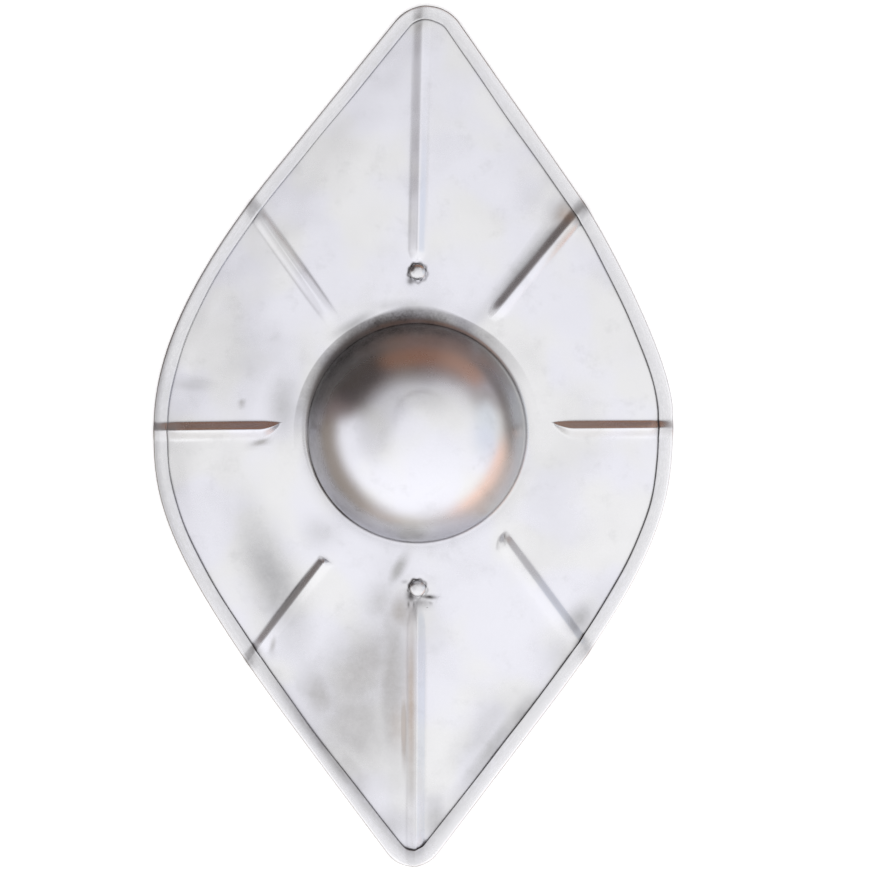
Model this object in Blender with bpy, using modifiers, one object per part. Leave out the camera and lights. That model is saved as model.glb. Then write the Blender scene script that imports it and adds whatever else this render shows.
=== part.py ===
"""Lozenge buckler: one sheet of mild steel with a domed boss, eight chased ribs and a hem turned
to the front, and a flat strap grip held behind it by two rivets.

Metres, +Z up. The buckler lies on its back: the rim's underside is at z = 0, the boss rises along
+Z, the long axis is Y, and the origin is under the middle of the outline.
"""
import math
from collections import namedtuple

import bmesh
import bpy
import numpy as np
from mathutils import Vector
from mathutils.geometry import interpolate_bezier

# The outline: two rounded points, straight runs to four shoulders, and a bulging curve at each side.
LENGTH = 0.580
WIDTH = 0.350
UPPER_POINT_X, UPPER_POINT_RADIUS = 0.009, 0.027
LOWER_POINT_X, LOWER_POINT_RADIUS = -0.0005, 0.021
RIGHT_WIDEST_Y, LEFT_WIDEST_Y = 0.0155, 0.0045
# Each shoulder: where the straight run ends, and how long the curve's handles are there and at the side.
SHOULDERS = {
    "upper_right": ((0.113, 0.1605), 0.027, 0.036),
    "upper_left": ((-0.093, 0.180), 0.111, 0.037),
    "lower_left": ((-0.0745, -0.205), 0.161, 0.046),
    "lower_right": ((0.095, -0.178), 0.1315, 0.049),
}

# The sheet and the hem, which is one more thickness folded over onto the front.
SHEET = 0.0015
HEM_GAP = 0.0004
HEM_WIDTH = 0.0096
HEM_EXTRA_BELOW = 0.0018                       # the hem is wider round the lower point
FOLD_RADIUS = SHEET + HEM_GAP / 2
DISH = 0.008                                   # rise of the plate from the rim to the boss
DISH_POWER = 1.5

# The boss, as radii on its front face, and the slopes where one arc meets the next. The cove at its
# foot is worked tight, and wide only above the boss.
BOSS = Vector((0.0026, 0.0021))
DOME_RADIUS, DOME_SLOPE = 0.0815, math.radians(60)
WALL_RADIUS, WALL_SLOPE = 0.0115, math.radians(80)
COVE_WIDE, COVE_TIGHT = 0.0105, 0.0035
COVE_WIDE_AT, COVE_SPREAD = 118, 55            # degrees anticlockwise from +X
DOME_STEPS, WALL_STEPS, COVE_STEPS = 6, 2, 4

# Each rib: a point on its crest near the hem, its heading outward in degrees, its half widths on the
# left and right of the crest, looking outward, and the crest's height. Then its tip: how far that is
# from the middle of the boss, the length over which the rib rises there, the share of its width that
# is left, and how far its two sides lean to the left foot (1) or the right (-1) as they close in.
Rib = namedtuple("Rib", "through heading left right height tip rise end lean")
RIBS = (
    Rib((0.1664, 0.0053), 0.4, 0.0054, 0.0053, 0.0046, 0.0905, 0.014, 0.10, 0.85),
    Rib((0.1108, 0.1485), 50.4, 0.0062, 0.0060, 0.0036, 0.0910, 0.012, 0.60, 0.3),
    Rib((0.0062, 0.2773), 88.8, 0.0060, 0.0056, 0.0034, 0.1155, 0.008, 0.70, 0.0),
    Rib((-0.1061, 0.1516), 125.3, 0.0060, 0.0053, 0.0025, 0.0905, 0.040, 0.95, 0.0),
    Rib((-0.1647, 0.0036), 180.6, 0.0053, 0.0058, 0.0048, 0.0910, 0.014, 0.10, -0.85),
    Rib((-0.1063, -0.1455), 232.4, 0.0054, 0.0050, 0.0030, 0.1050, 0.005, 1.25, 0.0),
    Rib((0.0019, -0.2777), 269.7, 0.0060, 0.0064, 0.0043, 0.1125, 0.018, 0.60, 0.0),
    Rib((0.1100, -0.1365), 306.6, 0.0060, 0.0074, 0.0040, 0.0920, 0.010, 0.50, 0.9),
)
RIB_AT_HEM, RIB_AT_EDGE = 0.80, 0.35           # shares of a rib's height under the hem and at the edge

# The grip and its rivets, one above the boss and one below.
RIVET_X = 0.0029
RIVET_ABOVE, RIVET_BELOW = 0.1078, 0.1041      # from the middle of the boss
RIVET_HOLE_RADIUS = 0.0030
SHANK_RADIUS = 0.0027
HEAD_RADIUS, HEAD_HEIGHT, HEAD_SEAT = 0.0055, 0.0026, 0.0095
TAIL_RADIUS, TAIL_HEIGHT = 0.0042, 0.0014
GRIP_TOP, GRIP_THICKNESS = 0.0069, 0.0030
GRIP_END_RADIUS = 0.013
GRIP_WAIST_HALF_WIDTH, GRIP_WAIST_HALF_LENGTH = 0.0105, 0.045
CLEARANCE = 0.0003

PANEL_LINES = 8                                # lines of the mesh between two neighbouring ribs
OUTER_SHARE = 0.64                             # of the way from the boss to the hem: the plate's last ring
FOLD_STEPS = 4
TURN_WEIGHT = 0.080                            # metres of outline that one radian of turning counts for


def clear_scene():
    for thing in list(bpy.data.objects):
        bpy.data.objects.remove(thing, do_unlink=True)


def new_collection(name):
    collection = bpy.data.collections.new(name)
    bpy.context.scene.collection.children.link(collection)
    return collection


def steel(name, colour, roughness):
    material = bpy.data.materials.new(name)
    material.use_nodes = True
    shader = material.node_tree.nodes["Principled BSDF"]
    shader.inputs["Base Color"].default_value = (*colour, 1.0)
    shader.inputs["Metallic"].default_value = 1.0
    shader.inputs["Roughness"].default_value = roughness
    return material


def heading(degrees):
    angle = math.radians(degrees)
    return Vector((math.cos(angle), math.sin(angle)))


# ---- outline -------------------------------------------------------------------------------------

def touch_point(centre, radius, outside, hand):
    """Where the line from a point outside a circle touches it, on the left (+1) or right (-1)."""
    reach = outside - centre
    swing = hand * math.acos(radius / reach.length)
    angle = math.atan2(reach.y, reach.x) + swing
    return centre + radius * Vector((math.cos(angle), math.sin(angle)))


def quarter(centre, radius, shoulder_name, widest_y, hand):
    """One quarter of the outline, from the rounded point to the widest point of its side."""
    at, shoulder_handle, widest_handle = SHOULDERS[shoulder_name]
    shoulder = Vector(at)
    widest = Vector((math.copysign(WIDTH / 2, shoulder.x), widest_y))
    start = touch_point(centre, radius, shoulder, hand)
    run = (shoulder - start).normalized()
    toward_point = Vector((0.0, math.copysign(widest_handle, shoulder.y)))
    curve = interpolate_bezier(shoulder, shoulder + run * shoulder_handle,
                               widest + toward_point, widest, 40)
    return [start] + [Vector(point[:2]) for point in curve]


def arc_between(centre, start, end, steps):
    """Points strictly between two points of a circle, anticlockwise."""
    first = start - centre
    last = end - centre
    begin = math.atan2(first.y, first.x)
    sweep = (math.atan2(last.y, last.x) - begin) % math.tau
    angles = (begin + sweep * step / steps for step in range(1, steps))
    return [centre + first.length * Vector((math.cos(a), math.sin(a))) for a in angles]


class Outline:
    """The closed outline, anticlockwise from the right side, measured by length and turning."""

    def __init__(self):
        upper = Vector((UPPER_POINT_X, LENGTH / 2 - UPPER_POINT_RADIUS))
        lower = Vector((LOWER_POINT_X, -LENGTH / 2 + LOWER_POINT_RADIUS))
        upper_right = quarter(upper, UPPER_POINT_RADIUS, "upper_right", RIGHT_WIDEST_Y, 1)
        upper_left = quarter(upper, UPPER_POINT_RADIUS, "upper_left", LEFT_WIDEST_Y, -1)
        lower_left = quarter(lower, LOWER_POINT_RADIUS, "lower_left", LEFT_WIDEST_Y, 1)
        lower_right = quarter(lower, LOWER_POINT_RADIUS, "lower_right", RIGHT_WIDEST_Y, -1)
        path = upper_right[::-1]
        path += arc_between(upper, upper_right[0], upper_left[0], 32)
        path += upper_left + lower_left[-2::-1]
        path += arc_between(lower, lower_left[0], lower_right[0], 32)
        path += lower_right
        self.points = np.array([tuple(point) for point in path])
        steps = np.diff(self.points, axis=0)
        lengths = np.hypot(steps[:, 0], steps[:, 1])
        bearings = np.unwrap(np.arctan2(steps[:, 1], steps[:, 0]))
        turns = np.concatenate(([0.0], np.abs(np.diff(bearings))))
        self.measures = np.concatenate(([0.0], np.cumsum(lengths + TURN_WEIGHT * turns)))
        self.total = self.measures[-1]

    def at(self, measure):
        along = measure % self.total
        return Vector((np.interp(along, self.measures, self.points[:, 0]),
                       np.interp(along, self.measures, self.points[:, 1])))

    def inward(self, measure):
        step = self.at(measure + 0.002) - self.at(measure - 0.002)
        return Vector((-step.y, step.x)).normalized()

    def crossing(self, start, direction):
        """The measure at which a ray from a point inside leaves the outline."""
        reach = self.points - np.array(start)
        aside = direction.x * reach[:, 1] - direction.y * reach[:, 0]
        ahead = reach @ np.array(direction)
        leaves = (aside[:-1] < 0) & (aside[1:] >= 0) & (ahead[:-1] > 0)
        index = int(np.argmax(leaves))
        share = aside[index] / (aside[index] - aside[index + 1])
        return self.measures[index] + share * (self.measures[index + 1] - self.measures[index])


def hem_width_at(edge):
    below = min(max((-edge.y - 0.200) / 0.090, 0.0), 1.0)
    return HEM_WIDTH + HEM_EXTRA_BELOW * below


# ---- the sheet -----------------------------------------------------------------------------------

def cove_radius(spoke):
    """The cove's radius on the front face, in the direction of a spoke from the boss's middle."""
    bearing = math.degrees(math.atan2(spoke.y, spoke.x))
    aside = (bearing - COVE_WIDE_AT + 180) % 360 - 180
    return COVE_TIGHT + (COVE_WIDE - COVE_TIGHT) * math.exp(-(aside / COVE_SPREAD) ** 2)


def boss_profile(cove):
    """Radius and drop below the crown, down the boss's back face to the foot of its cove.

    A tighter cove leaves a longer straight wall above it, so the foot's height stays the same.
    """
    dome = DOME_RADIUS - SHEET
    wall = WALL_RADIUS - SHEET
    profile = []
    for step in range(1, DOME_STEPS + 1):
        slope = DOME_SLOPE * step / DOME_STEPS
        profile.append((dome * math.sin(slope), dome * (1 - math.cos(slope))))
    radius, drop = profile[-1]
    for step in range(1, WALL_STEPS + 1):
        slope = DOME_SLOPE + (WALL_SLOPE - DOME_SLOPE) * step / WALL_STEPS
        profile.append((radius + wall * (math.sin(slope) - math.sin(DOME_SLOPE)),
                        drop + wall * (math.cos(DOME_SLOPE) - math.cos(slope))))
    straight = (COVE_WIDE - cove) * math.tan(WALL_SLOPE / 2)
    radius = profile[-1][0] + straight * math.cos(WALL_SLOPE)
    drop = profile[-1][1] + straight * math.sin(WALL_SLOPE)
    bend = cove + SHEET
    for step in range(1, COVE_STEPS + 1):
        slope = WALL_SLOPE * (1 - step / COVE_STEPS)
        profile.append((radius + bend * (math.sin(WALL_SLOPE) - math.sin(slope)),
                        drop + bend * (math.cos(slope) - math.cos(WALL_SLOPE))))
    return profile


class Line:
    """One line of the sheet's mesh, from the foot of the boss out to the edge."""

    def __init__(self, foot, rim, edge, tip_share, full_share):
        self.foot = foot
        self.rim = rim                         # on the hem's inner line
        self.edge = edge
        self.tip_share = tip_share             # of the way from foot to rim
        self.full_share = full_share
        self.lift = 0.0                        # how far a rib's crest stands above the plate
        self.at_tip = Vector((0.0, 0.0))       # how far the line is shifted at the rib's tip

    def on_boss(self, radius, height):
        spoke = (self.foot - BOSS).normalized()
        return (*(BOSS + spoke * radius), height)

    def on_plate(self, share, lifted=0.0, shifted=0.0):
        place = self.foot.lerp(self.rim, share) + self.at_tip * shifted
        height = DISH * (1 - share ** DISH_POWER)
        return (*place, height + self.lift * lifted)

    def on_hem(self, inset, height):
        share = inset / hem_width_at(self.edge)
        place = self.edge.lerp(self.rim, share)
        return (*place, height + self.lift * (RIB_AT_EDGE + (RIB_AT_HEM - RIB_AT_EDGE) * share))


def foot_crossing(start, direction, radius):
    """Where a line through the point start, running outward, crosses the foot of the boss."""
    reach = start - BOSS
    along = reach.dot(direction)
    back = along - math.sqrt(along ** 2 - reach.length_squared + radius ** 2)
    return start - direction * back


def rib_lines(outline, rib, foot_radius):
    """A rib's right foot, crest and left foot, with the outline's measure at each."""
    crest = Vector(rib.through)
    direction = heading(rib.heading)
    left = Vector((-direction.y, direction.x))
    lean = left * (rib.lean * (rib.left if rib.lean > 0 else rib.right))
    lines = []
    for across in (-rib.right, 0.0, rib.left):
        aside = left * across
        foot = foot_crossing(crest + aside, direction, foot_radius)
        measure = outline.crossing(foot, direction)
        edge = outline.at(measure)
        slant = -direction.dot(outline.inward(measure))
        rim = edge - direction * (hem_width_at(edge) / slant)
        run = (rim - foot).length
        tip_share = (rib.tip - foot_radius) / run
        line = Line(foot, rim, edge, tip_share, tip_share + rib.rise / run)
        line.lift = 0.0 if across else rib.height
        line.at_tip = aside * (rib.end - 1) + lean * max(1 - rib.end, 0)
        lines.append((measure, line))
    return lines


def panel_lines(outline, before, after, foot_radius):
    """The lines of the flat panel between one rib's left foot and the next rib's right foot."""
    first_measure, first = before
    last_measure, last = after
    measures = (last_measure - first_measure) % outline.total
    begin = first.foot - BOSS
    finish = last.foot - BOSS
    begin_angle = math.atan2(begin.y, begin.x)
    sweep = (math.atan2(finish.y, finish.x) - begin_angle) % math.tau
    lines = []
    for step in range(1, PANEL_LINES + 1):
        share = step / (PANEL_LINES + 1)
        angle = begin_angle + sweep * share
        foot = BOSS + foot_radius * Vector((math.cos(angle), math.sin(angle)))
        measure = first_measure + measures * share
        edge = outline.at(measure)
        rim = edge + outline.inward(measure) * hem_width_at(edge)
        tip_share = first.tip_share + (last.tip_share - first.tip_share) * share
        full_share = first.full_share + (last.full_share - first.full_share) * share
        lines.append(Line(foot, rim, edge, tip_share, full_share))
    return lines


def sheet_lines(foot_radius):
    """Every line of the sheet, anticlockwise: each rib's three, then those of the panel after it."""
    outline = Outline()
    ribs = [rib_lines(outline, rib, foot_radius) for rib in RIBS]
    lines = []
    for rib, following in zip(ribs, ribs[1:] + ribs[:1]):
        lines += [line for _, line in rib]
        lines += panel_lines(outline, rib[-1], following[0], foot_radius)
    return lines


def add_sheet(collection):
    """The back face of the sheet, from the crown of the boss out, round the fold and over the hem.

    Solidify then gives it the sheet's thickness.
    """
    foot_radius, boss_height = boss_profile(COVE_WIDE)[-1]
    lines = sheet_lines(foot_radius)
    crown_height = DISH + boss_height
    profiles = [boss_profile(cove_radius(line.foot - BOSS)) for line in lines]
    rings = [[line.on_boss(radius, crown_height - drop) for line, (radius, drop) in zip(lines, ring)]
             for ring in zip(*profiles)]
    rings.append([line.on_plate(line.tip_share, shifted=1.0) for line in lines])
    rings.append([line.on_plate(line.full_share, 1.0) for line in lines])
    rings.append([line.on_plate(OUTER_SHARE, 1.0) for line in lines])
    rings.append([line.on_plate(1.0, RIB_AT_HEM) for line in lines])
    for step in range(FOLD_STEPS + 1):
        angle = math.pi * (step / FOLD_STEPS - 0.5)
        inset = FOLD_RADIUS * (1 - math.cos(angle))
        height = FOLD_RADIUS * (1 + math.sin(angle))
        rings.append([line.on_hem(inset, height) for line in lines])
    rings.append([line.on_hem(hem_width_at(line.edge), 2 * FOLD_RADIUS) for line in lines])

    mesh = bpy.data.meshes.new("shield")
    cage = bmesh.new()
    crown = cage.verts.new((*BOSS, crown_height))
    loops = [[cage.verts.new(place) for place in ring] for ring in rings]
    count = len(lines)
    for index in range(count):
        cage.faces.new((crown, loops[0][(index + 1) % count], loops[0][index]))
    for inner, outer in zip(loops, loops[1:]):
        for index in range(count):
            after = (index + 1) % count
            cage.faces.new((inner[index], inner[after], outer[after], outer[index]))
    cage.to_mesh(mesh)
    cage.free()
    mesh.shade_smooth()
    mesh.set_sharp_from_angle(angle=math.radians(25))
    shield = bpy.data.objects.new("shield", mesh)
    shield.data.materials.append(steel("shield_steel", (0.62, 0.62, 0.63), 0.28))
    collection.objects.link(shield)
    thickness = shield.modifiers.new("sheet", "SOLIDIFY")
    thickness.thickness = SHEET
    thickness.offset = -1
    thickness.use_even_offset = True
    return shield


def drill_rivet_holes(shield, cutters):
    for name, at in rivet_places():
        bpy.ops.mesh.primitive_cylinder_add(vertices=20, radius=RIVET_HOLE_RADIUS, depth=0.020,
                                            location=(at.x, at.y, DISH))
        cutter = bpy.context.object
        cutter.name = name + "_hole"
        cutter.hide_render = True
        cutter.display_type = "WIRE"
        for owner in list(cutter.users_collection):
            owner.objects.unlink(cutter)
        cutters.objects.link(cutter)
        cut = shield.modifiers.new(cutter.name, "BOOLEAN")
        cut.operation = "DIFFERENCE"
        cut.solver = "EXACT"
        cut.object = cutter


# ---- grip and rivets -----------------------------------------------------------------------------

def rivet_places():
    return (("rivet_upper", Vector((RIVET_X, BOSS.y + RIVET_ABOVE))),
            ("rivet_lower", Vector((RIVET_X, BOSS.y - RIVET_BELOW))))


def closed_spline(curve, points):
    spline = curve.splines.new("POLY")
    spline.points.add(len(points) - 1)
    for slot, (x, y) in zip(spline.points, points):
        slot.co = (x, y, 0.0, 1.0)
    spline.use_cyclic_u = True


def arc_points(centre, radius, begin, end, steps):
    """Points on an arc about a centre, from one angle to another in degrees, both ends included."""
    angles = (math.radians(begin + (end - begin) * step / steps) for step in range(steps + 1))
    return [(centre[0] + radius * math.cos(a), centre[1] + radius * math.sin(a)) for a in angles]


def add_grip(collection):
    """A flat strap with round ends and a slightly narrower hand grip, drilled for the rivets."""
    curve = bpy.data.curves.new("grip", "CURVE")
    curve.dimensions = "2D"
    curve.fill_mode = "BOTH"
    curve.extrude = GRIP_THICKNESS / 2
    waist_x, waist_y = GRIP_WAIST_HALF_WIDTH, GRIP_WAIST_HALF_LENGTH
    outline = [(waist_x, -waist_y), (waist_x, waist_y)]
    outline += arc_points((0, RIVET_ABOVE), GRIP_END_RADIUS, 0, 180, 10)
    outline += [(-waist_x, waist_y), (-waist_x, -waist_y)]
    outline += arc_points((0, -RIVET_BELOW), GRIP_END_RADIUS, 180, 360, 10)
    closed_spline(curve, outline)
    for end in (-RIVET_BELOW, RIVET_ABOVE):
        closed_spline(curve, arc_points((0, end), RIVET_HOLE_RADIUS, 0, 342, 19))
    grip = bpy.data.objects.new("grip", curve)
    grip.location = (RIVET_X, BOSS.y, GRIP_TOP - GRIP_THICKNESS / 2)
    grip.data.materials.append(steel("grip_steel", (0.50, 0.50, 0.51), 0.40))
    collection.objects.link(grip)
    return grip


def add_rivet(collection, name, at):
    """A turned rivet: domed head in front, shank through both holes, and a tail behind the grip."""
    dome_radius = (HEAD_RADIUS ** 2 + HEAD_HEIGHT ** 2) / (2 * HEAD_HEIGHT)
    dome_angle = math.asin(HEAD_RADIUS / dome_radius)
    crown = HEAD_SEAT + HEAD_HEIGHT
    profile = [(0.0, crown)]
    for step in range(1, 5):
        angle = dome_angle * step / 4
        profile.append((dome_radius * math.sin(angle), crown - dome_radius * (1 - math.cos(angle))))
    grip_back = GRIP_TOP - GRIP_THICKNESS
    tail_top = grip_back - CLEARANCE
    profile += [(SHANK_RADIUS, HEAD_SEAT), (SHANK_RADIUS, tail_top), (TAIL_RADIUS, tail_top),
                (TAIL_RADIUS * 0.8, tail_top - TAIL_HEIGHT * 0.8), (0.0, tail_top - TAIL_HEIGHT)]
    mesh = bpy.data.meshes.new(name)
    edges = [(index, index + 1) for index in range(len(profile) - 1)]
    mesh.from_pydata([(radius, 0.0, height) for radius, height in profile], edges, [])
    rivet = bpy.data.objects.new(name, mesh)
    rivet.location = (at.x, at.y, 0.0)
    rivet.data.materials.append(steel(name + "_steel", (0.55, 0.55, 0.56), 0.35))
    collection.objects.link(rivet)
    turn = rivet.modifiers.new("turned", "SCREW")
    turn.steps = 20
    turn.render_steps = 20
    turn.use_merge_vertices = True
    turn.merge_threshold = 0.00001
    turn.use_smooth_shade = True
    return rivet


def main():
    clear_scene()
    parts = new_collection("buckler")
    cutters = new_collection("cutters")
    shield = add_sheet(parts)
    drill_rivet_holes(shield, cutters)
    add_grip(parts)
    for name, at in rivet_places():
        add_rivet(parts, name, at)


main()
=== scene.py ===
import math

import bmesh
import bpy
import numpy as np
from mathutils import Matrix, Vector
from mathutils.geometry import interpolate_bezier


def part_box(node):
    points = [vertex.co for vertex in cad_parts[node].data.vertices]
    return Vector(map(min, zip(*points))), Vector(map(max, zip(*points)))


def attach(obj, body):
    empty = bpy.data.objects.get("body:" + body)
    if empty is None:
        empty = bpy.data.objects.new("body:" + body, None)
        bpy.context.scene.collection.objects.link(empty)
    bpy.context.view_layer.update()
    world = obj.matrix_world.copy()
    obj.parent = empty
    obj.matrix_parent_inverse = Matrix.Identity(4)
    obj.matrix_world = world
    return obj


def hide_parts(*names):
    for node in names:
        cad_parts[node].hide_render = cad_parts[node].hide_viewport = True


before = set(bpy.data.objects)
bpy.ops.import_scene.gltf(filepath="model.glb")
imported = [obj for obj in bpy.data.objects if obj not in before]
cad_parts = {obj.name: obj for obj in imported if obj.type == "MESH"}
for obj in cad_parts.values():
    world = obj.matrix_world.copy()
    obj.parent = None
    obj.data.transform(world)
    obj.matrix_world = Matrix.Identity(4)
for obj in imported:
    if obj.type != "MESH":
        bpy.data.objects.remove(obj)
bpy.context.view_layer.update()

# A lozenge buckler, lying on its back with the boss up: one polished steel sheet with a domed boss,
# eight chased ribs and a hem turned to the front, and a strap grip behind it on two rivets.

shieldLow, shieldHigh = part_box("shield")


plan = {                          # metres; x right, y towards the upper point
    "length": 0.580,
    "width": 0.350,
    "upperPoint": (0.009, 0.027),      # x of its middle, radius
    "lowerPoint": (-0.0005, 0.021),
    "rightWidest": 0.0155,
    "leftWidest": 0.0045,
    "shoulders": {                # where a straight run ends, its handle, the handle at the widest point
        "upperRight": ((0.113, 0.1605), 0.027, 0.036),
        "upperLeft": ((-0.093, 0.180), 0.111, 0.037),
        "lowerLeft": ((-0.0745, -0.205), 0.161, 0.046),
        "lowerRight": ((0.095, -0.178), 0.1315, 0.049),
    },
    "turnWeight": 0.080,          # metres of outline that one radian of turning counts for
}

sheet = {                         # metres and degrees
    "thickness": 0.0015,
    "hemWidth": 0.0096, "hemGap": 0.0004,
    "hemExtraBelow": 0.0018,      # how much wider the hem is at the lower point
    "extraFrom": 0.200, "extraOver": 0.090,     # how far below the middle that starts, and its run
    "hemUneven": 0.00022,         # how much the hem's inner line wanders
    "hemRipple": 0.00010,         # how much its top rises and falls
    "lipRound": 0.0003,           # the cut edge's lower corner
    "edgeRound": (0.00045, 0.00065, 135, 50),     # the hem's cut edge: least, how much more, where, spread
    "dish": 0.008, "dishPower": 1.5,
    "wave": 0.00016, "domeWave": 0.00010,       # how far the plate strays from flat and the dome from round
    "boss": Vector((0.0026, 0.0021)),
    "domeRadius": 0.0815, "domeSlope": 60,
    "wallRadius": 0.0115, "wallSlope": 80,
    "cove": 0.0105, "coveTight": 0.0035,   # the cove at the boss's foot, widest and tightest
    "coveWideAt": 118, "coveSpread": 55,   # degrees anticlockwise from +X
    # how far in the outer fold's rounding reaches, how much further where it is rounder, and where that is
    "noseFlat": 0.0017, "noseRound": 0.0019, "noseRoundAt": (186, 56),
    "ribAtHem": 0.80, "ribAtEdge": 0.35,        # the ribs' height under the hem and at the outer edge
    # by side, in degrees: how dark the hem's inner line is (grime and painted shade in the crevice), and
    # how pale its outer fold is (wear and a painted reflection of the floor) and how dark (grime and
    # painted shade)
    "lineGrimeAndShade": {
        0: 1.0, 45: 0.65, 90: 0.40, 120: 0.15, 160: 0.15, 186: 0.40, 225: 0.85, 255: 0.50, 290: 0.80,
        320: 1.0, 360: 1.0},
    "foldWearAndSheen": {
        0: 1.0, 90: 0.9, 130: 0.6, 152: 0.35, 165: 0.0, 205: 0.0, 222: 0.5, 245: 0.8, 270: 1.0, 360: 1.0},
    "foldGrimeAndShade": {
        0: 0.0, 130: 0.05, 155: 0.24, 168: 0.42, 180: 0.30, 200: 0.30, 215: 0.15, 245: 0.08, 270: 0.0,
        360: 0.0},
    # grime and painted shade at the boss's foot, by side: a thin line in the corner, a soft band on the
    # wall above it and a wide one on the cove outside it, each with its radius and half width
    "cornerGrimeAndShade": (0.0731, 0.0010, {
        0: 0.35, 30: 0.6, 80: 0.9, 100: 1.0, 140: 0.85, 165: 0.85, 182: 0.5, 205: 1.1, 225: 1.1,
        245: 0.70, 300: 0.60, 320: 0.35, 360: 0.35}),
    "wallGrimeAndShade": (0.0700, 0.0066, {
        0: 0.15, 20: 0.22, 40: 0.35, 60: 0.5, 80: 0.72, 100: 0.80, 140: 0.86, 160: 0.80, 175: 0.48,
        200: 0.36, 220: 0.40, 240: 0.43, 260: 0.34, 300: 0.26, 340: 0.12, 360: 0.15}),
    "coveGrimeAndShade": (0.0784, 0.0074, {
        0: 0.0, 25: 0.05, 40: 0.24, 60: 0.48, 80: 0.70, 100: 0.90, 120: 0.66, 140: 0.46, 160: 0.44,
        175: 0.2, 190: 0.0, 360: 0.0}),
    # by side, how much painted shade darkens the plate and the hem beside the hem's inner line, and how
    # dark the hem's very edge is painted (grime and painted shade)
    "plateShade": {
        0: 0.0, 50: 0.0, 70: 0.12, 90: 0.0, 228: 0.05, 240: 0.34, 256: 0.30, 270: 0.16, 284: 0.30,
        305: 0.30, 318: 0.08, 330: 0.0, 360: 0.0},
    "hemShade": {
        0: 0.0, 210: 0.0, 222: 0.08, 238: 0.16, 248: 0.45, 257: 0.58, 266: 0.35, 276: 0.10, 290: 0.0,
        360: 0.0},
    "edgeGrimeAndShade": {
        0: 0.1, 30: 0.1, 45: 0.25, 60: 0.5, 76: 0.45, 88: 1.2, 100: 0.3, 112: 0.0, 250: 0.0, 268: 0.30,
        285: 0.45, 300: 0.42, 315: 0.08, 360: 0.1},
    # how far from the hem's inner line each of these reaches
    "lineWidth": 0.0004, "plateShadeReach": 0.0034, "hemShadeReach": 0.0050,
    "ribShadeReach": 0.0035, "rubbedReach": 0.0080,
    "panelLines": 26,             # lines of the mesh in each panel between two ribs
}

# through: a point on the crest near the hem; heading: outward, degrees; left, right: half widths, looking
# outward; tip: the rib's end, from the middle of the boss; rise: the length it rises over; crest, soft,
# feet: how round the crest is, how soft the foot is, and how dark the foot is painted (grime
# and painted shade in the crease), on each side; end: share of the width left at the tip; lean: the side it
# narrows to; scuff: how dull and pale each flank is painted (wear and a painted paler reflection);
# swell: extra height near the hem, over swellLength; ribShadeAtHem: how much painted shade darkens it at
# the hem; rubbed: how pale it is worn there
plainRib = {"crest": (0.09, 0.09), "soft": (0.10, 0.10), "feet": (0.15, 0.15), "end": 0.30, "lean": 0.0,
            "scuff": (0.0, 0.0), "rubbed": 0.0, "swell": 0.0, "swellLength": 0.040, "ribShadeAtHem": 0.5}
ribs = {
    "right": {"through": (0.1664, 0.0053), "heading": 0.4, "left": 0.0054, "right": 0.0064,
        "height": 0.0052, "tip": 0.0905, "rise": 0.014, "scuff": (0.13, 0.0), "end": 0.10, "lean": 0.85,
        "ribShadeAtHem": 0.5, "rubbed": 0.30},
    "upperRight": {"through": (0.1108, 0.1485), "heading": 50.4, "left": 0.0062, "right": 0.0060,
        "height": 0.0036, "tip": 0.0910, "rise": 0.012, "crest": (0.13, 0.40), "soft": (0.26, 0.12),
        "feet": (0.12, 0.12), "scuff": (0.16, 0.0), "end": 0.60, "lean": 0.3, "swell": 0.15, "ribShadeAtHem": 0.7},
    "top": {"through": (0.0062, 0.2773), "heading": 88.8, "left": 0.0060, "right": 0.0056,
        "height": 0.0034, "tip": 0.1155, "rise": 0.008, "soft": (0.16, 0.16), "end": 0.70,
        "swell": -0.28, "swellLength": 0.130, "ribShadeAtHem": 0.2},
    "upperLeft": {"through": (-0.1061, 0.1516), "heading": 125.3, "left": 0.0060, "right": 0.0053,
        "height": 0.0025, "tip": 0.0905, "rise": 0.040, "crest": (0.30, 0.36), "soft": (0.08, 0.20),
        "feet": (0.22, 0.55), "end": 0.95, "ribShadeAtHem": 0.5},
    "left": {"through": (-0.1647, 0.0036), "heading": 180.6, "left": 0.0066, "right": 0.0058,
        "height": 0.0056, "tip": 0.0910, "rise": 0.014, "scuff": (0.0, 0.05), "end": 0.10, "lean": -0.85,
        "ribShadeAtHem": 0.3, "rubbed": 0.45},
    "lowerLeft": {"through": (-0.1063, -0.1455), "heading": 232.4, "left": 0.0054, "right": 0.0050,
        "height": 0.0030, "tip": 0.1040, "rise": 0.004, "soft": (0.10, 0.08), "feet": (0.05, 1.2),
        "scuff": (0.0, 0.07), "end": 1.25, "ribShadeAtHem": 0.7},
    "bottom": {"through": (0.0019, -0.2777), "heading": 269.7, "left": 0.0060, "right": 0.0064,
        "height": 0.0043, "tip": 0.1125, "rise": 0.018, "soft": (0.20, 0.20), "end": 0.60, "ribShadeAtHem": 0.2},
    "lowerRight": {"through": (0.1100, -0.1365), "heading": 306.6, "left": 0.0060, "right": 0.0074,
        "height": 0.0040, "tip": 0.0880, "rise": 0.008, "crest": (0.13, 0.20), "soft": (0.09, 0.30),
        "feet": (0.10, 0.0), "end": 0.50, "lean": 0.9, "ribShadeAtHem": 0.5},
}
ribs = [{**plainRib, **rib} for rib in ribs.values()]
bossSteps = (44, 8, 3, 12)        # rings of the mesh: dome, its turn, the straight wall, the cove
plateSteps = (10, 7, 42)          # to the ribs' ends, where they rise, to the hem
ribColumns = (-1.7, -1.45, -1.25, -1.12, -1.0, -0.88, -0.7, -0.5, -0.3, -0.15, -0.06, 0.0,
              0.06, 0.15, 0.3, 0.5, 0.7, 0.88, 1.0, 1.12, 1.25, 1.45, 1.7)

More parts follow.
